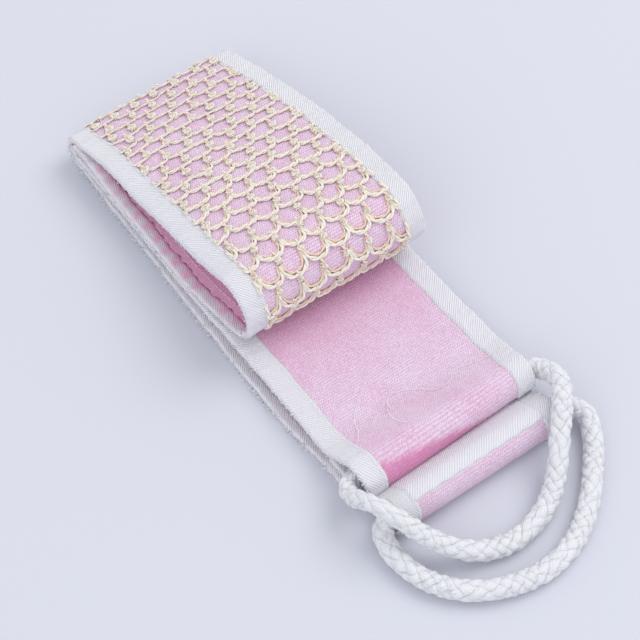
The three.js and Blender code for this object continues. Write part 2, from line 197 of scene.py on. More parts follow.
class Strap:
    """The strap's middle surface: places by arc length along the strap and distance across it."""

    LINE_STEP = 0.001
    SHORTEST_RUN = 0.00001
    ARC_STEP = math.radians(3)
    SWELL = 0.00028
    EDGE_WAVES = (0.00016, 0.00020)
    RIPPLE_FADE = 0.030
    LAY = ("left", "right", "lean", "skew", "droop")

    def __init__(self, corners):
        self.rows = []
        self.named_rows = {}
        self.corner_rows = []
        self.trace(corners)
        table = np.array(self.rows)
        steps = np.hypot(np.diff(table[:, 0]), np.diff(table[:, 1]))
        self.along = np.concatenate([[0.0], np.cumsum(steps)])
        self.length = self.along[-1]
        self.x, self.z = table[:, 0], table[:, 1]
        self.heading = np.unwrap(table[:, 2])
        self.cuts = {name: self.along[row] for name, row in self.named_rows.items()}
        corner_along = self.along[self.corner_rows]
        self.lay = {key: self.eased(corner_along, [c[key] for c in corners]) for key in self.LAY}

    def eased(self, corner_along, values):
        """Values at every row of the side view, eased from each corner to the next."""
        values = np.array(values)
        before = np.clip(np.searchsorted(corner_along, self.along, side="right") - 1, 0, len(values) - 2)
        span = corner_along[before + 1] - corner_along[before]
        t = np.clip((self.along - corner_along[before]) / span, 0, 1)
        return values[before] + (values[before + 1] - values[before]) * t * t * (3 - 2 * t)

    def trace(self, corners):
        """Fills the rows: straight runs, and an arc at each rounded corner."""
        here = (corners[0]["x"], corners[0]["z"])
        heading = math.atan2(corners[1]["z"] - here[1], corners[1]["x"] - here[0])
        self.rows.append((*here, heading))
        self.named_rows[corners[0]["name"]] = 0
        self.corner_rows.append(0)
        for i in range(1, len(corners)):
            now = corners[i]
            turn = 0.0
            if i + 1 < len(corners):
                following = corners[i + 1]
                onward = math.atan2(following["z"] - now["z"], following["x"] - now["x"])
                turn = (onward - heading + math.pi) % (2 * math.pi) - math.pi
            cut = now["r"] * math.tan(abs(turn) / 2)
            start = (now["x"] - math.cos(heading) * cut, now["z"] - math.sin(heading) * cut)
            self.add_run(here, start, heading)
            arc_start = len(self.rows) - 1
            if now["name"]:
                self.named_rows[now["name"]] = arc_start
            if cut > 0:
                self.add_arc(start, heading, turn, now["r"])
            self.corner_rows.append((arc_start + len(self.rows) - 1) // 2)
            here = self.rows[-1][:2]
            heading += turn

    def add_run(self, here, there, heading):
        """Rows of a straight run."""
        run = math.dist(here, there)
        steps = math.ceil(run / self.LINE_STEP) if run > self.SHORTEST_RUN else 0
        for k in range(1, steps + 1):
            x, z = (a + (b - a) * k / steps for a, b in zip(here, there))
            self.rows.append((x, z, heading))

    def add_arc(self, start, heading, turn, radius):
        """Rows of an arc that turns left, or right where turn is negative."""
        side = math.copysign(1.0, turn)
        centre = (start[0] - math.sin(heading) * side * radius, start[1] + math.cos(heading) * side * radius)
        steps = max(2, math.ceil(abs(turn) / self.ARC_STEP))
        for k in range(1, steps + 1):
            angle = heading + turn * k / steps
            x = centre[0] + math.sin(angle) * side * radius
            z = centre[1] - math.cos(angle) * side * radius
            self.rows.append((x, z, angle))

    def at(self, along, across, offset):
        """Points at arc length `along`, `across` metres from the middle line of a straight strap, and
        `offset` towards the front cloth."""
        along, across, offset = np.broadcast_arrays(along, across, offset)
        inside = np.clip(along, 0.0, self.length)
        beyond = along - inside
        heading = np.interp(inside, self.along, self.heading)
        dx, dz = np.cos(heading), np.sin(heading)
        left, right, lean, skew, droop = (np.interp(inside, self.along, self.lay[key]) for key in self.LAY)
        share = across / STRAP_WIDTH
        y = (left + right) / 2 + share * (right - left)
        lift = offset + self.ripple(inside, y)
        lean = lean * np.clip(0.5 - share, 0, 1) + skew * np.clip(0.5 + share, 0, 1)
        hang = droop * np.clip((-share - 0.20) / 0.30, 0, 1) ** 1.7
        x = np.interp(inside, self.along, self.x) + beyond * dx - dz * lift + lean
        z = np.interp(inside, self.along, self.z) + beyond * dz + dx * lift - hang
        return place(np.stack([x, y, z], axis=-1))

    def ripple(self, along, y):
        """The soft unevenness of the cloth, the same for every ply: slow swells, and quicker waves near
        both edges. It fades out towards the hems."""
        fade = np.clip((np.minimum(along, self.length - along) - HEM_PATH) / self.RIPPLE_FADE, 0, 1)
        slow = np.sin(along * 95 + 1.3) * np.sin(y * 60 + along * 20) * self.SWELL
        edge = np.clip((np.abs(y - 0.002) - 0.030) / 0.015, 0, 1)
        quick, steady = self.EDGE_WAVES
        wave = np.sin(along * 410 + y * 25) * quick + np.sin(along * 233 + 2.0) * steady
        return fade * (slow + edge * wave)


strap = Strap(strap_corners())
HEM_CREST = strap.along[np.argmax(np.where(strap.along > strap.cuts["net_end"], strap.z, 0.0))]


# ---- Meshes ----


def make_object(name, points, faces, material):
    """A smooth-shaded object from faces of any number of corners."""
    mesh = bpy.data.meshes.new(name)
    mesh.from_pydata(np.asarray(points, float).tolist(), [], faces)
    mesh.materials.append(material)
    mesh.polygons.foreach_set("use_smooth", [True] * len(mesh.polygons))
    mesh.update()
    piece = bpy.data.objects.new(name, mesh)
    bpy.context.scene.collection.objects.link(piece)
    return piece


def make_piece(name, points, faces, material):
    """An object that is pressed flat where it would dip below the floor."""
    points = np.array(points, float)
    points[:, 2] = np.maximum(points[:, 2], LEAST_HEIGHT)
    return make_object(name, points, faces, material)


def set_attribute(piece, name, values):
    """A number or a vector for each vertex, for the shaders to read."""
    values = np.asarray(values, np.float32).ravel()
    is_vector = len(values) == 3 * len(piece.data.vertices)
    attribute = piece.data.attributes.new(name, "FLOAT_VECTOR" if is_vector else "FLOAT", "POINT")
    attribute.data.foreach_set("vector" if is_vector else "value", values)


def ring_quads(rings, count):
    """Quads between `rings` rings of `count` points each, as an array."""
    i = np.arange(rings - 1)[:, None] * count
    j = np.arange(count)[None, :]
    k = (j + 1) % count
    return np.stack([i + j, i + k, i + count + k, i + count + j], axis=-1).reshape(-1, 4)


def ring_faces(rings, count):
    """Faces of a tube of `rings` rings of `count` points: the quads, and one face over each end."""
    last = (rings - 1) * count
    return ring_quads(rings, count).tolist() + [list(range(count))[::-1], list(range(last, last + count))]


def counted_on(faces, start):
    """The faces of points that come after `start` others."""
    return [[index + start for index in face] for face in faces]


def make_tube(name, points, material, lay):
    """A piece from a grid of points, ring by ring, with the three values of `lay` at every point."""
    rings, count, _ = points.shape
    piece = make_piece(name, points.reshape(-1, 3), ring_faces(rings, count), material)
    set_attribute(piece, "lay", np.stack(lay, axis=-1))
    return piece


NEARLY_UPRIGHT = (0.31, 0.0, 1.0)


def tubes(lines, radius, sides):
    """Points and faces of tubes along lines that all have the same number of points. Radius is one
    number, or one for each point. The third result is the line point that each vertex stands round."""
    lines = np.asarray(lines, float)
    count, steps, _ = lines.shape
    tangent = np.gradient(lines, axis=1)
    tangent /= np.linalg.norm(tangent, axis=2)[..., None] + 1e-12
    first = np.cross(tangent, NEARLY_UPRIGHT)
    first /= np.linalg.norm(first, axis=2)[..., None] + 1e-12
    second = np.cross(tangent, first)
    angle = np.linspace(0, 2 * math.pi, sides, endpoint=False)
    ring = np.cos(angle)[None, None, :, None] * first[:, :, None, :]
    ring = ring + np.sin(angle)[None, None, :, None] * second[:, :, None, :]
    size = np.broadcast_to(np.asarray(radius, float), (count, steps))[..., None, None]
    points = lines[:, :, None, :] + ring * size
    begins = np.arange(count) * steps * sides
    turned = ring_quads(steps, sides)[:, [1, 0, 3, 2]]
    faces = (begins[:, None, None] + turned).reshape(-1, 4).tolist()
    for begin in begins.tolist():
        last = begin + (steps - 1) * sides
        faces += [list(range(begin, begin + sides)), list(range(last, last + sides))[::-1]]
    owner = np.repeat(np.arange(count * steps), sides)
    return points.reshape(-1, 3), faces, owner


def with_strap(piece):
    """Bakes the piece's world transform into its mesh."""
    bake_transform(piece)
    return piece


def swept_section(name, section, step, material, painted_shade_of, wobble=None):
    """A closed section of (across, offset) points swept along the whole strap."""
    stations = np.linspace(0.0, strap.length, round(strap.length / step) + 1)
    outline = np.array(section)
    along = np.repeat(stations[:, None], len(outline), axis=1)
    across = np.broadcast_to(outline[:, 0], along.shape).copy()
    offset = np.broadcast_to(outline[:, 1], along.shape).copy()
    if wobble:
        across, offset = wobble(along, across, offset)
    piece = make_tube(name, strap.at(along, across, offset), material, (across, along, offset))
    set_attribute(piece, "depth", painted_shade_of(along, across, offset))
    with_strap(piece)
    return piece


def cloth_painted_shade(along, across, offset):
    """How deep the cloth's pink is: 1 on the back. On the front it is painted shade: a little deeper under
    the flap and just before end A's hem crest, and deepest on end A's hem beyond a skewed line, where the hem
    turns down into shade."""
    cuts = strap.cuts
    low_start = cuts["inner_fold_start"] - 0.105
    flap_edge = cuts["net_end"] + 0.038
    marks = [low_start, low_start + 0.020, flap_edge, flap_edge + 0.009, flap_edge + 0.022, flap_edge + 0.045]
    # Painted shade: the front's pink is deeper under the flap and fades out beyond its bend.
    painted_flap_shade = np.interp(along, marks, [0.0, 0.55, 0.55, 0.32, 0.14, 0.0])
    # Painted shade: a slight deepening just before end A's hem crest.
    painted_crest_shade = np.interp(along, [HEM_CREST - 0.020, HEM_CREST], [0.0, 0.10])
    hem_line = HEM_CREST + np.interp(across, [-0.035, 0.0, 0.030], [0.0015, 0.0060, 0.0130])
    # Painted shade: the deepest pink, on end A's hem beyond the skewed line where the hem turns down.
    painted_wedge_shade = np.clip((along - hem_line) / 0.0012, 0, 1)
    front = np.maximum.reduce([painted_flap_shade, painted_crest_shade, painted_wedge_shade])
    return np.where(offset > 0, front, 1.0)


def tape_painted_pink(along, across, offset):
    """Painted pink shade on the tape, for light reflected from the pink cloth: on its back only, most of all
    inside the flap's loop.
    """
    start, end = strap.cuts["outer_fold_start"], strap.cuts["inner_fold_start"]
    # Painted pink shade: strongest inside the flap's loop.
    inside = np.interp(along, [start, start + 0.01, end - 0.01, end], [0.15, 1.0, 1.0, 0.15])
    return np.where(offset > 0, 0.0, inside)


# ---- Shader helpers ----

LIGHT_REACH = 0.0015


class Nodes:
    """A material's node tree, built up by name. Light goes LIGHT_REACH deep into a glowing one."""

    def __init__(self, name, base_color, roughness, sheen=0.0, glow=0.0):
        self.material = bpy.data.materials.new(name)
        self.material.use_nodes = True
        self.tree = self.material.node_tree
        self.shader = self.tree.nodes["Principled BSDF"]
        look = {
            "Base Color": (*base_color, 1),
            "Roughness": roughness,
            "Specular IOR Level": 0.25,
            "Sheen Weight": sheen,
            "Sheen Roughness": 0.5,
            "Subsurface Weight": glow,
            "Subsurface Radius": (1.0, 1.0, 1.0),
            "Subsurface Scale": LIGHT_REACH,
        }
        for socket_name, value in look.items():
            self.shader.inputs[socket_name].default_value = value

    def node(self, kind, **settings):
        made = self.tree.nodes.new(kind)
        for key, value in settings.items():
            setattr(made, key, value)
        return made

    def feed(self, socket, value):
        if isinstance(value, bpy.types.NodeSocket):
            self.tree.links.new(value, socket)
        else:
            socket.default_value = value

    def math(self, operation, *values):
        made = self.node("ShaderNodeMath", operation=operation)
        for socket, value in zip(made.inputs, values):
            self.feed(socket, value)
        return made.outputs[0]

    def attribute(self, name, output):
        return self.node("ShaderNodeAttribute", attribute_name=name).outputs[output]

    def wave(self, value, pitch):
        """A sine of value with the given pitch, from 0 to 1."""
        angle = self.math("MULTIPLY", value, 2 * math.pi / pitch)
        return self.math("MULTIPLY_ADD", self.math("SINE", angle), 0.5, 0.5)

    def noise(self, vector, scale, detail):
        made = self.node("ShaderNodeTexNoise")
        self.feed(made.inputs["Vector"], vector)
        made.inputs["Scale"].default_value = scale
        made.inputs["Detail"].default_value = detail
        return made.outputs["Fac"]

    def range(self, value, low, high, to_low=0.0, to_high=1.0):
        made = self.node("ShaderNodeMapRange")
        for socket, number in zip(made.inputs, (value, low, high, to_low, to_high)):
            self.feed(socket, number)
        return made.outputs[0]

    def mix(self, factor, first, second):
        made = self.node("ShaderNodeMix", data_type="RGBA")
        self.feed(made.inputs["Factor"], factor)
        for socket, value in ((made.inputs[6], first), (made.inputs[7], second)):
            self.feed(socket, value if isinstance(value, bpy.types.NodeSocket) else (*value, 1))
        return made.outputs[2]

    def bump(self, height, distance, strength):
        made = self.node("ShaderNodeBump")
        made.inputs["Strength"].default_value = strength
        made.inputs["Distance"].default_value = distance
        self.feed(made.inputs["Height"], height)
        self.feed(self.shader.inputs["Normal"], made.outputs[0])

    def colour(self, value):
        self.feed(self.shader.inputs["Base Color"], value)

    def across_and_along(self):
        """The strap's own coordinates as two sockets and their vector."""
        vector = self.attribute("lay", "Vector")
        split = self.node("ShaderNodeSeparateXYZ")
        self.feed(split.inputs[0], vector)
        return split.outputs[0], split.outputs[1], vector


KNIT_ROW = 0.00125
KNIT_COLUMN = 0.00105
TWILL_RIB = 0.00135
TWILL_PICK = 0.00062
DIMPLE_PITCH = 0.0078
LOOP_WHITE = (0.93, 0.84, 0.93)


def towelling(name, pale, deep, dot):
    """Knitted towelling: fine rows of white-tipped loops with a dark dot between them. The pink goes from
    pale to deep by the "depth" attribute, which on the front cloth is painted shade; the white loop tips fade
    where it is high."""
    n = Nodes(name, pale, 0.95, sheen=0.10, glow=0.25)
    across, along, vector = n.across_and_along()
    drift = n.noise(vector, 260.0, 2.0)
    row_place = n.math("MULTIPLY_ADD", drift, 0.0007, along)
    column_place = n.math("MULTIPLY_ADD", drift, 0.0005, across)
    rows = n.wave(row_place, KNIT_ROW)
    staggered = n.math("MULTIPLY_ADD", row_place, 0.5, column_place)
    columns = n.wave(staggered, KNIT_COLUMN)
    holes = n.range(n.math("MULTIPLY", rows, columns), 0.42, 0.95)
    fibres = n.noise(vector, 2400.0, 4.0)
    patches = n.noise(vector, 55.0, 3.0)
    # The "depth" attribute: painted shade on the front cloth, and 1 all over the back.
    inside = n.attribute("depth", "Fac")
    body = n.mix(n.range(patches, 0.3, 0.7, 0.0, 0.22), pale, deep)
    shaded = n.mix(n.math("MULTIPLY", inside, 0.85), body, deep)
    specks = n.noise(vector, 1500.0, 2.0)
    # The white loop tips fade in the painted shade.
    in_the_open = n.math("MULTIPLY_ADD", inside, -0.6, 1.0)
    tips = n.math("MULTIPLY", n.range(specks, 0.50, 0.66, 0.0, 0.42), in_the_open)
    tipped = n.mix(tips, shaded, LOOP_WHITE)
    sunk = n.math("MAXIMUM", holes, n.range(specks, 0.46, 0.34, 0.0, 0.45))
    n.colour(n.mix(n.math("MULTIPLY", sunk, n.range(fibres, 0.35, 0.65, 0.35, 0.95)), tipped, dot))
    relief = n.math("SUBTRACT", n.math("MULTIPLY", fibres, 0.6), holes)
    n.bump(relief, 0.0004, 0.75)
    return n.material


def twill(name, white, groove_shade, reflected_pink):
    """White twill tape: diagonal ribs of fine thread, with painted shade in the ribs' grooves. Where "depth"
    is more than 0, the tape is painted pink, as painted shade lit by light reflected from the pink cloth: in
    blotches along its inner edge, and more thinly over the rest."""
    n = Nodes(name, white, 0.9, sheen=0.2, glow=0.25)
    across, along, vector = n.across_and_along()
    outward = n.math("ABSOLUTE", across)
    drift = n.noise(vector, 330.0, 2.0)
    slanted = n.math("MULTIPLY_ADD", outward, 1.1, along)
    ribs = n.wave(n.math("MULTIPLY_ADD", drift, 0.0008, slanted), TWILL_RIB)
    picks = n.wave(n.math("MULTIPLY_ADD", drift, 0.0006, outward), TWILL_PICK)
    fibres = n.noise(vector, 2300.0, 4.0)
    # Painted shade: the ribs' grooves are coloured darker than the tape's white.
    grooves = n.range(ribs, 0.45, 1.0)
    depth = n.math("MULTIPLY", grooves, n.range(picks, 0.0, 1.0, 0.55, 1.0))
    # Painted pink shade in blotches spaced like the tape's puckers, strongest along the inner edge.
    dimple_shade = n.wave(n.math("MULTIPLY_ADD", drift, 0.005, along), DIMPLE_PITCH)
    shade_blotches = n.math("MULTIPLY", dimple_shade, n.range(n.noise(vector, 60.0, 2.0), 0.34, 0.56, 0.25, 1.0))
    inside = n.attribute("depth", "Fac")
    inner_edge_shade = n.range(n.math("MULTIPLY_ADD", shade_blotches, -0.0032, outward), *TAPE_FADE, 0.85, 0.0)
    pink_shade_amount = n.math("MAXIMUM", inner_edge_shade, n.math("MULTIPLY_ADD", shade_blotches, 0.30, 0.08))
    painted_pink_shade = n.math("MULTIPLY", inside, pink_shade_amount)
    ground = n.mix(painted_pink_shade, white, reflected_pink)
    n.colour(n.mix(n.math("MULTIPLY", depth, n.range(fibres, 0.3, 0.7, 0.30, 0.75)), ground, groove_shade))
    relief = n.math("SUBTRACT", n.math("MULTIPLY", fibres, 0.5), depth)
    n.bump(relief, 0.0005, 0.8)
    return n.material


def yarn(name, pale, tan, roughness, strand_pitch, tinted=False):
    """Coarse fibre laid in fine threads. A tinted one is browner where its "tint" attribute is high."""
    n = Nodes(name, pale, roughness, sheen=0.1, glow=0.35)
    across, _, vector = n.across_and_along()
    streaks = n.noise(vector, 420.0, 3.0)
    fibres = n.noise(vector, 2600.0, 4.0)
    threads = n.wave(n.math("MULTIPLY_ADD", streaks, strand_pitch, across), strand_pitch)
    factor = n.range(streaks, 0.45, 0.75, 0.0, 0.3)
    if tinted:
        factor = n.math("MAXIMUM", factor, n.attribute("tint", "Fac"))
    grain = n.math("MULTIPLY", n.range(fibres, 0.35, 0.7, 0.7, 1.15), factor)
    n.colour(n.mix(grain, pale, tan))
    n.bump(n.math("MULTIPLY_ADD", threads, 0.8, fibres), 0.00025, 0.7)
    return n.material


# The front's deep pink serves both the cloth's own patchy tone and its painted shade.
FRONT_CLOTH = towelling(
    "front_towelling", pale=(0.79, 0.635, 0.785), deep=(0.68, 0.20, 0.42), dot=(0.57, 0.27, 0.44)
)
BACK_CLOTH = towelling(
    "back_towelling", pale=(0.89, 0.60, 0.78), deep=(0.93, 0.48, 0.69), dot=(0.78, 0.34, 0.54)
)
# This tape's groove colour and its pink are both painted shade.
TWILL = twill("white_twill", white=(0.85, 0.845, 0.895), groove_shade=(0.66, 0.63, 0.71), reflected_pink=(0.97, 0.42, 0.65))
SISAL = yarn(
    "sisal_yarn",
    pale=(0.90, 0.855, 0.75),
    tan=(0.92, 0.60, 0.43),
    roughness=0.65,
    strand_pitch=0.0009,
    tinted=True,
)
COTTON = yarn(
    "cotton_braid", pale=(0.785, 0.79, 0.82), tan=(0.74, 0.74, 0.78), roughness=0.85, strand_pitch=0.00085
)
THREAD = yarn(
    "sewing_thread", pale=(0.93, 0.92, 0.95), tan=(0.84, 0.82, 0.86), roughness=0.7, strand_pitch=0.0005
)
FLOOR_PAINT = Nodes("floor_paint", (0.645, 0.657, 0.730), 0.9).material


# ---- Camera, lights and floor ----


CAMERA_PLACE = (0.37772, -0.26667, 0.61873)
CAMERA_PITCH = math.radians(54.29)
CAMERA_YAW = math.radians(144.02)
CAMERA_LENS_MM = 101.5
FLOOR_REACH = 4.0


def add_camera():
    """A long lens, looking down from beyond end B's left corner."""
    level = math.cos(CAMERA_PITCH)
    forward = Vector((level * math.cos(CAMERA_YAW), level * math.sin(CAMERA_YAW), -math.sin(CAMERA_PITCH)))
    right = Vector((math.sin(CAMERA_YAW), -math.cos(CAMERA_YAW), 0))
    up = right.cross(forward)
    data = bpy.data.cameras.new("camera")
    data.sensor_width = 36
    data.lens = CAMERA_LENS_MM
    camera = bpy.data.objects.new("camera", data)
    turn = Matrix((right, up, -forward)).transposed().to_4x4()
    camera.matrix_world = Matrix.Translation(CAMERA_PLACE) @ turn
    bpy.context.scene.collection.objects.link(camera)
    bpy.context.scene.camera = camera


def add_area_light(name, place_at, target, size, power, colour):
    data = bpy.data.lights.new(name, "AREA")
    data.shape = "DISK"
    data.size = size
    data.energy = power
    data.color = colour
    light = bpy.data.objects.new(name, data)
    light.location = place_at
    light.rotation_euler = (Vector(target) - Vector(place_at)).to_track_quat("-Z", "Y").to_euler()
    bpy.context.scene.collection.objects.link(light)


def add_surroundings():
    """Two soft studio lights, an even sky and a plain floor."""
    middle = (0.0, 0.0, 0.02)
    warm, cool = (1.0, 0.985, 0.97), (0.98, 0.985, 1.0)
    add_area_light("key_light", (0.15, 1.35, 2.00), middle, size=1.8, power=22.0, colour=warm)
    add_area_light("fill_light", (1.1, -1.7, 1.5), middle, size=2.4, power=13.0, colour=cool)
    world = bpy.data.worlds.new("studio")
    world.use_nodes = True
    sky = world.node_tree.nodes["Background"]
    sky.inputs["Color"].default_value = (0.945, 0.96, 1.0, 1)
    sky.inputs["Strength"].default_value = 0.80
    bpy.context.scene.world = world
    bpy.context.scene.view_settings.view_transform = "Standard"
    corners = [(x * FLOOR_REACH, y * FLOOR_REACH, 0) for x, y in ((-1, -1), (1, -1), (1, 1), (-1, 1))]
    floor = make_object("floor", corners, [(0, 1, 2, 3)], FLOOR_PAINT)


add_camera()
add_surroundings()


# ---- Rope handles ----


def through_hem(hem, *across):
    """The points of a rope's route inside its hem, at these places across the strap."""
    return [(hem["x"], y, hem["z"]) for y in across]


ROPE_A_ROUTE = [
    *through_hem(HEM_A, HEM_SHIFT + SPLICE_END, 0.030, 0.040),
    (0.2162, 0.0442, 0.0115), (0.2184, 0.0494, 0.0120), (0.2238, 0.0514, 0.0142), (0.2315, 0.0494, 0.0188),
    (0.2385, 0.0446, 0.0214), (0.2450, 0.0390, 0.0196), (0.2510, 0.0335, 0.0156), (0.2580, 0.0270, 0.0110),
    (0.2650, 0.0185, 0.0070), (0.2700, 0.0070, 0.0049), (0.2715, -0.0070, 0.0047), (0.2680, -0.0190, 0.0056),
    (0.2620, -0.0280, 0.0090), (0.2555, -0.0345, 0.0136), (0.2480, -0.0394, 0.0180),
    (0.2400, -0.0434, 0.0212), (0.2325, -0.0460, 0.0198), (0.2244, -0.0478, 0.0148),
    (0.2183, -0.0460, 0.0120),
    *through_hem(HEM_A, -0.0406, -0.0260, HEM_SHIFT - SPLICE_END),
]
ROPE_B_ROUTE = [
    *through_hem(HEM_B, HEM_SHIFT + SPLICE_END, 0.0320, 0.0440),
    (0.2386, 0.0508, 0.0074), (0.2444, 0.0540, 0.0060), (0.2544, 0.0494, 0.0049), (0.2654, 0.0400, 0.0047),
    (0.2765, 0.0280, 0.0046), (0.2850, 0.0140, 0.0046), (0.2885, -0.0010, 0.0046), (0.2870, -0.0150, 0.0046),
    (0.2825, -0.0265, 0.0046), (0.2755, -0.0360, 0.0046), (0.2660, -0.0430, 0.0047),
    (0.2560, -0.0462, 0.0049), (0.2460, -0.0468, 0.0056), (0.2393, -0.0446, 0.0072),
    *through_hem(HEM_B, -0.0396, -0.0250, HEM_SHIFT - SPLICE_END),
]


def between(start, end, u, first, second):
    """The point on the line that is at `first` when u = start and at `second` when u = end."""
    return (end - u) / (end - start) * first + (u - start) / (end - start) * second


def smooth_line(points, step):
    """A centripetal Catmull-Rom curve through the points, at even steps."""
    p = np.array(points, float)
    p = np.vstack([2 * p[0] - p[1], p, 2 * p[-1] - p[-2]])
    pieces = []
    for a, b, c, d in zip(p[:-3], p[1:-2], p[2:-1], p[3:]):
        t = np.cumsum([0.0] + [math.sqrt(np.linalg.norm(q - r)) for q, r in ((b, a), (c, b), (d, c))])
        u = np.linspace(t[1], t[2], 24, endpoint=False)[:, None]
        ab = between(t[0], t[1], u, a, b)
        bc = between(t[1], t[2], u, b, c)
        cd = between(t[2], t[3], u, c, d)
        abc = between(t[0], t[2], u, ab, bc)
        bcd = between(t[1], t[3], u, bc, cd)
        pieces.append(between(t[1], t[2], u, abc, bcd))
    line = np.vstack(pieces + [p[-2:-1]])
    along = np.concatenate([[0.0], np.cumsum(np.linalg.norm(np.diff(line, axis=0), axis=1))])
    even = np.linspace(0, along[-1], max(2, round(along[-1] / step) + 1))
    return np.stack([np.interp(even, along, line[:, k]) for k in range(3)], axis=1), even


def frames_along(line):
    """Two unit normals at each point of a line, carried along it without twist."""
    tangents = np.gradient(line, axis=0)
    tangents /= np.linalg.norm(tangents, axis=1)[:, None]
    side = np.cross(tangents[0], (0.3, 0.2, 1.0))
    firsts = []
    for tangent in tangents:
        side = side - tangent * (side @ tangent)
        side = side / np.linalg.norm(side)
        firsts.append(side)
    firsts = np.array(firsts)
    return firsts, np.cross(tangents, firsts)


BRAID_LEAD = 0.0250
BRAID_STRANDS = 4
STRAND_DEPTH = 0.00105
STRAND_WEAVE = 0.00042
BRAID_INSET = 0.00012
ROPE_STEP = 0.0004
ROPE_SIDES = 72
HAIRS_PER_METRE = 4200
HAIR_LENGTH = 0.0010
HAIR_RADIUS = 0.00008
HAIRLESS_SHARE = 0.15  # of the rope at each end, which the hem hides
BINDING_PITCH = 0.0009
BINDING_RADIUS = 0.00022


def braid_height(angle, along):
    """Height of a round braid over its core, and the place across the strand on top, from -1 to 1."""
    turns = along / BRAID_LEAD
    first = BRAID_STRANDS * (angle / (2 * math.pi) - turns)
    second = BRAID_STRANDS * (angle / (2 * math.pi) + turns)
    heights = []
    for own, other, sign in ((first, second, 1), (second, first, -1)):
        index = np.round(own)
        across = 2 * (own - index)
        crown = np.sqrt(np.clip(1 - 0.93 * across * across, 0, 1))
        weave = sign * np.cos(math.pi * (other + index))
        heights.append((STRAND_DEPTH * crown + STRAND_WEAVE * weave, across))
    upper = heights[0][0] > heights[1][0]
    height = np.where(upper, heights[0][0], heights[1][0])
    across = np.where(upper, heights[0][1], heights[1][1])
    return height, across


def unit(vectors):
    """The vectors, each brought to length 1."""
    return vectors / np.linalg.norm(vectors, axis=-1, keepdims=True)


def hairs(roots, outward, trend):
    """Fine curved fibres that stand out from a surface, as points and faces."""
    count, steps = len(roots), 5
    t = np.linspace(0, 1, steps)[None, :, None]
    reach = (HAIR_LENGTH * noise_source.uniform(0.4, 1.3, count))[:, None, None]
    sway = noise_source.normal(0, 0.7, (count, 3)) + trend * noise_source.normal(0, 1.2, (count, 1))
    way = unit(outward * 0.6 + sway)[:, None, :]
    curl = unit(noise_source.normal(0, 1, (count, 3)))[:, None, :]
    lines = roots[:, None, :] + reach * (way * t + 0.4 * curl * t * t)
    points, faces, _ = tubes(lines, HAIR_RADIUS, 3)
    return points, faces


def make_rope(name, route, body, girth):
    """A braided rope along its route. Girth is (share of its length, size) pairs."""
    line, along = smooth_line(route, ROPE_STEP)
    line = place(line)
    first, second = frames_along(line)
    angle = np.linspace(0, 2 * math.pi, ROPE_SIDES, endpoint=False)[None, :]
    # The braid wanders round the rope, slips along it and swells, so that no two turns look alike.
    wander = 0.22 * np.sin(along * 260) + 0.16 * np.sin(along * 413 + 1.0)
    stretch = 0.0016 * np.sin(along * 190 + 0.5)
    height, across = braid_height(angle + wander[:, None], (along + stretch)[:, None])
    slack = 1 + 0.10 * np.sin(along[:, None] * 540 + 2 * angle) * np.sin(along[:, None] * 331)
    core = ROPE_DIAMETER / 2 - BRAID_INSET - STRAND_DEPTH - 0.9 * STRAND_WEAVE
    radius = (core + height * slack) * np.interp(along / along[-1], *zip(*girth))[:, None]
    around = np.cos(angle)[..., None] * first[:, None, :] + np.sin(angle)[..., None] * second[:, None, :]
    points = line[:, None, :] + radius[..., None] * around
    along_grid = np.broadcast_to(along[:, None], across.shape)
    lay = np.stack([across * 0.002, along_grid * 0.25, radius], axis=-1).reshape(-1, 3)

    count = int(along[-1] * HAIRS_PER_METRE)
    first_ring, last_ring = int(HAIRLESS_SHARE * len(line)), int((1 - HAIRLESS_SHARE) * len(line))
    ring = noise_source.integers(first_ring, last_ring, count)
    place_round = noise_source.integers(0, ROPE_SIDES, count)
    trend = np.gradient(line, along, axis=0)[ring]
    hair_points, hair_faces = hairs(points[ring, place_round], around[ring, place_round], trend)
    surface = points.reshape(-1, 3)
    faces = ring_faces(len(line), ROPE_SIDES) + counted_on(hair_faces, len(surface))
    rope = make_piece(name, np.vstack([surface, hair_points]), faces, COTTON)
    set_attribute(rope, "lay", np.vstack([lay, np.zeros_like(hair_points)]))
    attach(rope, body)
    return rope, line, along[-1]


def make_splice(name, hem, body):
    """The rope's two ends butted together and bound with thread."""
    half = SPLICE_END - PIECE_GAP
    sides, rings = 40, 240
    along = np.linspace(-half, half, rings)
    angle = np.linspace(0, 2 * math.pi, sides, endpoint=False)
    grid_along, grid_angle = np.meshgrid(along, angle, indexing="ij")
    binding = BINDING_RADIUS * np.abs(np.sin(grid_along / BINDING_PITCH * math.pi + grid_angle / 2))
    radius = ROPE_DIAMETER / 2 - 0.0006 + binding
    x = hem["x"] + radius * np.cos(grid_angle)
    z = hem["z"] + radius * np.sin(grid_angle)
    points = place(np.stack([x, HEM_SHIFT - grid_along, z], axis=-1))
    splice = make_tube(name, points, THREAD, (grid_angle * 0.003, grid_along, radius))
    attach(splice, body)
    return splice


def add_handle(letter, route, hem, girth):
    """A rope handle with the splice that joins its ends."""
    body = f"handle_{letter}"
    rope, line, length = make_rope(f"braided_rope_{letter}", route, body, girth)
    splice = make_splice(f"bound_splice_{letter}", hem, body)
    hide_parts(f"rope_{letter}")
    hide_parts(f"rope_splice_{letter}")


add_handle("a", ROPE_A_ROUTE, HEM_A, [(0.0, 1.0), (0.60, 1.0), (0.76, 0.82), (0.90, 0.88), (1.0, 1.0)])
add_handle("b", ROPE_B_ROUTE, HEM_B, [(0.0, 1.0), (1.0, 1.0)])


# ---- Cloth and tape ----

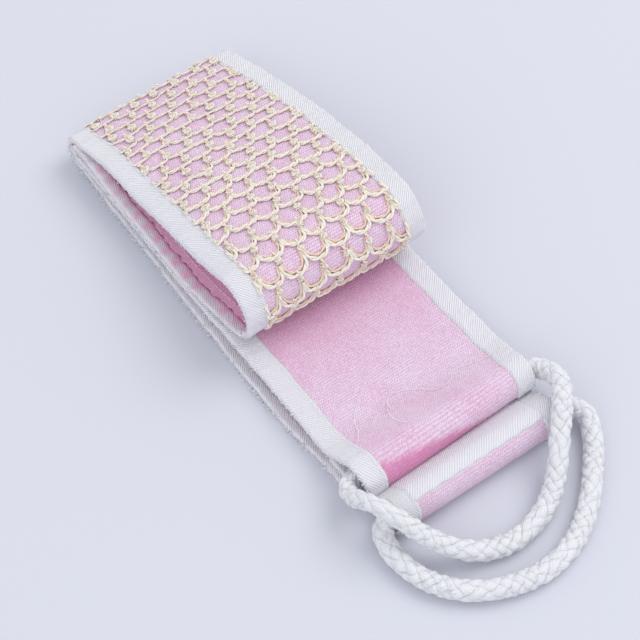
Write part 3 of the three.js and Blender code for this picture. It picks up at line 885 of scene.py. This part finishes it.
SEGMENTS = ("bottom", "outer_fold", "flap", "inner_fold", "middle")
CLOTH_COLUMNS = 46
CLOTH_STEP = 0.0015
CLOTH_EDGE_GAP = 0.00015
TAPE_STEP = 0.0009
PUCKER_DEPTH = 0.00012
THREAD_RADIUS = 0.00017
HEM_THREAD_RADIUS = 0.00014
RAVEL_RADIUS = 0.00018
RAVEL_PITCH = 0.00105
RAVEL_LENGTHS = (0.0008, 0.0019)
RAVEL_RISES = (0.0003, 0.0019)
RAVEL_SPREAD = 0.0006
LEAST_WORN = 0.4
LOOSE_THREAD_RADIUS = 0.00014
LOOSE_THREADS = [
    [(0.2030, 0.0400), (0.2045, 0.0354), (0.2009, 0.0263), (0.2008, 0.0211), (0.2047, 0.0165),
     (0.2044, 0.0095), (0.1978, 0.0044), (0.1931, -0.0037), (0.1945, -0.0083), (0.2000, -0.0102)],
    [(0.1877, -0.0168), (0.1905, -0.0215), (0.1950, -0.0250), (0.2010, -0.0268), (0.2065, -0.0310)],
    [(0.1950, -0.0090), (0.2010, -0.0120), (0.2080, -0.0128), (0.2130, -0.0110)],
]


def node_names(ply):
    """The CAD nodes that one ply of the strap is cut into."""
    return [f"{ply}_{segment}" for segment in SEGMENTS]


def make_cloth(name, ply, inner, outer, material):
    """One ply of towelling, between the lips of the edge tapes."""
    half = HALF_WIDTH - TAPE_THICKNESS - CLOTH_EDGE_GAP
    columns = np.linspace(-half, half, CLOTH_COLUMNS)
    section = [(across, inner) for across in columns] + [(across, outer) for across in columns[::-1]]
    cloth = swept_section(name, section, CLOTH_STEP, material, cloth_painted_shade)
    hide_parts(*node_names(ply))
    return cloth


def tape_outline(side):
    """The section of a tape folded over the strap's edge, with a soft rounded turn. Its lips slope down
    into the cloth, and it reaches less far in on the back."""
    edge = HALF_WIDTH - 0.0004
    face = TAPE_FACE
    sunk = CLOTH_FACE - 0.00025
    front = [(TAPE_REACH - 0.0005, sunk), (TAPE_REACH + 0.0003, face - 0.00012)]
    front += [(across, face) for across in np.linspace(TAPE_REACH + 0.0010, edge - 0.0012, 12)]
    turn = [
        (edge - 0.0006 + 0.0010 * math.sin(a), face * math.cos(a))
        for a in np.linspace(0.25, math.pi - 0.25, 9)
    ]
    back = [(across, -face) for across in np.linspace(edge - 0.0012, BACK_TAPE_REACH + 0.0010, 7)]
    back += [(BACK_TAPE_REACH + 0.0003, -face + 0.00018), (BACK_TAPE_REACH - 0.0012, -sunk)]
    lining = [(edge - 0.0004, -sunk), (edge - 0.0004, sunk)]
    outline = front + turn + back + lining
    return [(side * across, offset) for across, offset in (outline if side < 0 else outline[::-1])]


def pucker(side):
    """Puckers in the tape: small waves that grow towards its folded edge, and uneven inner edges."""

    def wobble(along, across, offset):
        outward = np.clip((np.abs(across) - TAPE_REACH) / TAPE_WIDTH, 0, 1)
        waves = np.sin(along * 890 + side) + np.sin(along * 1430 + 2 * side + np.abs(across) * 300)
        uneven = np.sin(along * 310 + side) * 0.00015 + np.sin(along * 1210) * 0.00008
        back_uneven = np.sin(along * 231 + side) * 0.0006 + np.sin(along * 607) * 0.0003
        shift = np.where(offset > 0, uneven, back_uneven) * (1 - outward)
        from_end = np.minimum(along, strap.length - along)
        depth = PUCKER_DEPTH * np.where(offset > 0, 1.0, np.clip((from_end - HEM_PATH) / 0.01, 0, 1))
        return across + side * shift, offset + depth * waves * (0.35 + outward)

    return wobble


def make_edge_tape(side_name, side):
    """The tape over the strap's left edge (side -1) or right edge (side 1)."""
    name = f"{side_name}_edge_tape"
    tape = swept_section(name, tape_outline(side), TAPE_STEP, TWILL, tape_painted_pink, pucker(side))
    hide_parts(*node_names(f"{side_name}_tape"))
    return tape


def make_end_tape(letter, start, towards, reach):
    """Tape folded over a tail's raw end at arc length `start`, between the edge tapes. It reaches in
    along the strap by `reach`, in the direction `towards`."""
    top = TAPE_FACE + 0.0001
    lengthwise = [(reach + 0.0006, CLOTH_FACE - 0.0003), (reach - 0.0003, top - 0.0001)]
    lengthwise += [(s, top) for s in np.linspace(reach - 0.0010, 0.0, 24)]
    turn = [(-0.0007 * math.sin(a), top * math.cos(a)) for a in np.linspace(0.3, math.pi - 0.3, 7)]
    back = [(s, -top) for s in np.linspace(0.0, reach, 12)]
    lining = [(reach, -TAPE_INNER), (0.0004, -TAPE_INNER), (0.0004, CLOTH_FACE - 0.0003)]
    outline = np.array(lengthwise + turn + back + lining)
    across = np.linspace(-TAPE_REACH - 0.001, TAPE_REACH + 0.001, 90)
    grid_across = np.repeat(across[:, None], len(outline), axis=1)
    uneven = np.sin(grid_across * 700) * 0.0002
    along = start + towards * (outline[None, :, 0] + uneven)
    offset = np.broadcast_to(outline[None, :, 1], along.shape)
    points = strap.at(along, grid_across, offset)
    tape = make_tube(f"end_{letter}_tape", points, TWILL, (along, grid_across, offset))
    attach(tape, "strap_base")
    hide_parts(f"end_tape_{letter}")
    return tape


# ---- Stitches and loose threads ----


def make_threads(name, along, across, offset, radius, sides, grain=None):
    """Lines of thread, given by their places on the strap, as one object. `grain`, or else the offset,
    is the third value of their lay, which only the fine noise follows. Returns each vertex's arc length
    too."""
    along, across, offset = np.broadcast_arrays(along, across, offset)
    points, faces, owner = tubes(strap.at(along, across, offset), radius, sides)
    threads = make_piece(name, points, faces, THREAD)
    lay = np.stack([across, along, offset if grain is None else grain], axis=-1)
    set_attribute(threads, "lay", lay.reshape(-1, 3)[owner])
    return threads, along.ravel()[owner]


def stitch_rise(t, height):
    """How far a stitch stands out of the cloth, from its start at t = 0 to its end at t = 1."""
    return height * np.sin(math.pi * t) ** 0.5


def make_edge_stitching(side_name, side):
    """The seam that holds an edge tape, on both faces of the strap. The back's stitches stop short of
    the hems, where the rope runs."""
    pitch, length, inset = 0.0028, 0.0021, 0.0012
    t = np.linspace(0, 1, 7)
    alongs, offsets = [], []
    for face, margin in ((1, 0.004), (-1, HEM_PATH)):
        starts = np.arange(margin, strap.length - margin, pitch)
        face_along = starts[:, None] + t * length
        alongs.append(face_along)
        offsets.append(np.broadcast_to(face * (TAPE_FACE + stitch_rise(t, 0.0002)), face_along.shape))
    along, offset = np.concatenate(alongs), np.concatenate(offsets)
    across = side * (TAPE_REACH + inset + 0.00012 * np.sin(along * 260))
    name = f"{side_name}_tape_stitching"
    stitching, vertex_along = make_threads(name, along, across, offset, THREAD_RADIUS, 6)
    return with_strap(stitching)


def make_ravelled_edge(side_name, side):
    """Small loops of the tape's own yarn along its folded edge, more worn on the left."""
    starts = np.arange(0.003, strap.length - 0.004, RAVEL_PITCH)
    count = len(starts)
    t = np.linspace(0, 1, 7)[None, :]
    length = noise_source.uniform(*RAVEL_LENGTHS, (count, 1))
    marks = [0.0] + [strap.cuts[name] for name in ("outer_fold_start", "outer_fold_end", "inner_fold_start")]
    worn = np.interp(starts, marks, [1.0, 1.0, 0.35, 0.6])[:, None] * (1.0 if side < 0 else LEAST_WORN)
    rise = noise_source.uniform(*RAVEL_RISES, (count, 1)) * worn
    level = noise_source.normal(0, RAVEL_SPREAD, (count, 1))
    tilt = noise_source.normal(0, RAVEL_SPREAD, (count, 1))
    along = starts[:, None] + length * t + 0.4 * rise * np.sin(2 * math.pi * t)
    across = side * (HALF_WIDTH - 0.0003 + rise * np.sin(math.pi * t))
    offset = np.clip(level + tilt * (t - 0.5), -TAPE_FACE, TAPE_FACE)
    name = f"{side_name}_ravelled_edge"
    edge, vertex_along = make_threads(name, along, across, offset, RAVEL_RADIUS, 4)
    return with_strap(edge)


def make_loose_thread(number, way):
    """An end of sewing thread lying on the cloth, by (x, y) places in the drawing."""
    line, _ = smooth_line([(x, y, 0.0) for x, y in way], 0.0006)
    along = strap.cuts["net_end"] + (line[:, 0] - NET_END_X)
    across = line[:, 1] - 0.0025
    height = CLOTH_FACE + 0.00035 + 0.0005 * np.abs(np.sin(np.arange(len(line)) * 0.11 + number))
    name = f"loose_thread_{number}"
    thread, _ = make_threads(name, along[None], across[None], height[None], LOOSE_THREAD_RADIUS, 5)
    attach(thread, "strap_base")
    return thread


def make_hem_seam(letter, at, face_offset):
    """A row of stitches across the strap that closes the hem."""
    pitch, length = 0.0030, 0.0023
    starts = np.arange(-TAPE_REACH + 0.001, TAPE_REACH - 0.003, pitch)
    t = np.linspace(0, 1, 7)
    across = starts[:, None] + t * length
    along = at + 0.0003 * np.sin(across * 130)
    offset = face_offset + stitch_rise(t, 0.00022)
    name = f"hem_{letter}_seam"
    seam, _ = make_threads(name, along, across, offset, HEM_THREAD_RADIUS, 6, grain=across)
    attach(seam, "strap_base")
    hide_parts(f"hem_seam_{letter}")
    return seam


front_cloth = make_cloth("front_towelling_cloth", "front_cloth", PLY_GAP / 2, CLOTH_FACE, FRONT_CLOTH)
back_cloth = make_cloth("back_towelling_cloth", "back_cloth", -CLOTH_FACE, -PLY_GAP / 2, BACK_CLOTH)
for tape_side_name, tape_side in (("left", -1), ("right", 1)):
    for make_edge_piece in (make_edge_tape, make_edge_stitching, make_ravelled_edge):
        make_edge_piece(tape_side_name, tape_side)
make_end_tape("b", 0.0, 1, END_TAPE_B)
make_end_tape("a", strap.length, -1, END_TAPE_A)
make_hem_seam("a", strap.cuts["net_end"] + SEAM_A_X - NET_END_X, CLOTH_FACE)
make_hem_seam("b", SEAM_B_ALONG, TAPE_FACE + 0.0001)
for thread_number, thread_way in enumerate(LOOSE_THREADS, 1):
    make_loose_thread(thread_number, thread_way)


# ---- Sisal net ----

NET_CELL = 0.0112
NET_HALF = TAPE_REACH + 0.0006
CLOSEST_ROWS, WIDEST_ROWS = 0.0060, 0.0098
STRAND_RADIUS = 0.00058
STRAND_APART = 0.00042
STRAND_TWIST = 0.0085
POST_TWIST = 0.0040
WRAP_RADIUS = 0.00046
RING_RADIUS = 0.00046
RING_APART = 0.00030
RING_TWIST = 0.0036


def jitter(amount):
    return noise_source.normal(0, amount)


def net_rows():
    """Arc lengths of the rows of knots. The rows lie closer together near the outer fold."""
    rows = []
    at = strap.cuts["net_start"] + 0.002
    close = strap.cuts["outer_fold_end"]
    while at < strap.cuts["net_end"] - 0.004:
        rows.append(at)
        at += np.interp(abs(at - close), [0.0, 0.05, 0.11], [CLOSEST_ROWS, 0.0078, WIDEST_ROWS])
    return rows


def net_lines():
    """Yarn centre lines as (across, along, height, tint, size): scallops between knots, with a thinner, lower
    tan yarn inside each that is a painted shadow of the scallop on the cloth, and posts that hook the next
    row onto the middle of each scallop."""
    rows = net_rows()
    t = np.linspace(0, 1, 22)
    arch = np.sin(math.pi * t)
    scallops, posts = [], []
    for number, row in enumerate(rows):
        following = rows[number + 1] if number + 1 < len(rows) else row + 0.009
        pitch = following - row
        open_share = (pitch - CLOSEST_ROWS) / (WIDEST_ROWS - CLOSEST_ROWS)
        dip = pitch * (0.14 + 0.48 * open_share)
        size = 0.48 + 0.52 * min(1.0, 1.4 * open_share)
        half_step = NET_CELL / 2 if number % 2 else 0.0
        count = int(2 * NET_HALF / NET_CELL) + 2
        places = [(k - count / 2) * NET_CELL + half_step + jitter(0.0007) for k in range(count + 1)]
        tops = [row + jitter(0.0006) + 0.0009 * math.sin(place * 75 + number * 0.9) for place in places]
        for k in range(count):
            a, b = places[k], places[k + 1]
            lean = jitter(0.12)
            across = a + (b - a) * (t - 0.10 * np.sin(2 * math.pi * t) + 0.3 * lean * arch)
            sag = (dip + jitter(0.0006)) * arch**0.62
            along = tops[k] * (1 - t) + tops[k + 1] * t + sag
            height = 0.00050 + 0.00045 * arch
            scallops.append((across, along, height, np.zeros(len(t)), size))
            # A painted shadow: a thin tan yarn beside the scallop, lower than it and inside it.
            shadow_across = (a + b) / 2 + (across - (a + b) / 2) * 0.80
            shadow_along = along - 0.0007 - 0.12 * sag
            scallops.append((shadow_across, shadow_along, height - 0.0004, np.full(len(t), 0.8), 0.62 * size))
            post_end = following + jitter(0.0003)
            middle = (a + b) / 2 + jitter(0.0004)
            post_start = row + dip - 0.0008
            post_along = post_start + (post_end + 0.0006 - post_start) * t
            post_across = middle + jitter(0.0003) * arch
            posts.append((post_across, post_along, 0.0010 - 0.0005 * t, 0.10 + 0.55 * arch, 0.8))
    return scallops, posts


def wraps_on(posts):
    """The crossed turns of tan yarn at the heart of each knot."""
    t = np.linspace(0, 1, 14)
    lines = []
    for across, along, height, _, _ in posts:
        for share, tilt in ((0.50, 0.0), (0.72, 0.0017), (0.78, -0.0017), (0.95, 0.0006)):
            k = int(share * (len(along) - 1))
            wrap_across = across[k] + (0.00105 + jitter(0.00015)) * np.cos(math.pi * t)
            wrap_along = along[k] + tilt * (t - 0.5) + jitter(0.00015)
            wrap_height = height[k] - 0.0005 + 0.00095 * np.sin(math.pi * t)
            lines.append((wrap_across, wrap_along, wrap_height, np.full(len(t), 0.45 if tilt else 0.75), 1.0))
    return lines


def rings_on(posts):
    """The round turn of yarn on top of each knot, drawn tighter where the net is stretched."""
    t = np.linspace(0, 1, 18)
    lines = []
    for across, along, height, _, _ in posts:
        k = int(0.74 * (len(along) - 1))
        size = np.interp(along[-1] - along[0], [0.0052, 0.0064], [0.50, 1.0]) + jitter(0.10)
        turn = 2 * math.pi * t + noise_source.uniform(0, 2 * math.pi)
        ring_across = across[k] + 0.00150 * size * np.cos(turn)
        ring_along = along[k] + 0.00105 * size * np.sin(turn)
        ring_height = height[k] + 0.00040 + 0.00025 * np.sin(turn + 1.0)
        lines.append((ring_across, ring_along, ring_height, np.full(len(t), 0.02), 1.0))
    return lines


def twisted(lines, radius, twist, apart, sides, strands=2):
    """Tubes for each strand of each twisted yarn, held to the width between the edge tapes, as points,
    faces, and each vertex's lay, tint and arc length."""
    across, along, height, tint = (np.array([line[k] for line in lines]) for k in range(4))
    size = np.array([line[4] for line in lines])
    keep = np.abs(across).min(axis=1) < NET_HALF - 0.0006
    across, along, height, tint, size = (values[keep] for values in (across, along, height, tint, size))
    across = np.clip(across, -NET_HALF, NET_HALF)
    steps = np.hypot(np.diff(across), np.diff(along))
    run = np.concatenate([np.zeros((len(across), 1)), np.cumsum(steps, axis=1)], axis=1)
    phase = noise_source.uniform(0, 2 * math.pi, (len(across), 1))
    d_across, d_along = np.gradient(across, axis=1), np.gradient(along, axis=1)
    pace = np.hypot(d_across, d_along) + 1e-9
    size = np.repeat(size[:, None], across.shape[1], axis=1)
    parts = []
    for strand in range(strands):
        angle = run / twist * 2 * math.pi + phase + strand * 2 * math.pi / strands
        sideways, upwards = apart * size * np.cos(angle), apart * size * np.sin(angle)
        strand_across = across - d_along / pace * sideways
        strand_along = along + d_across / pace * sideways
        parts.append((strand_across, strand_along, NET_INNER + height + upwards, tint, run, radius * size))
    across, along, offset, tint, run, size = (np.concatenate(group) for group in zip(*parts))
    points, faces, owner = tubes(strap.at(along, across, offset), size, sides)
    lay = np.stack([across, along, run], axis=-1).reshape(-1, 3)[owner]
    return points, faces, lay, tint.ravel()[owner], along.ravel()[owner]


def join(parts):
    """The parts from `twisted` as one."""
    faces = []
    start = 0
    for part_points, part_faces, *_ in parts:
        faces += counted_on(part_faces, start)
        start += len(part_points)
    points, lay, tint, along = (np.concatenate([part[k] for part in parts]) for k in (0, 2, 3, 4))
    return points, faces, lay, tint, along


def make_net():
    """The sisal net, yarn by yarn."""
    scallops, posts = net_lines()
    parts = [
        twisted(scallops, STRAND_RADIUS, STRAND_TWIST, STRAND_APART, 6),
        twisted(posts, STRAND_RADIUS, POST_TWIST, STRAND_APART * 1.3, 6),
        twisted(wraps_on(posts), WRAP_RADIUS, POST_TWIST, 0.0, 5, strands=1),
        twisted(rings_on(posts), RING_RADIUS, RING_TWIST, RING_APART, 5),
    ]
    points, faces, lay, tint, along = join(parts)
    net = make_piece("hooked_sisal_net", points, faces, SISAL)
    set_attribute(net, "lay", lay)
    set_attribute(net, "tint", tint)
    with_strap(net)
    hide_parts(*node_names("net"))
    return net


make_net()
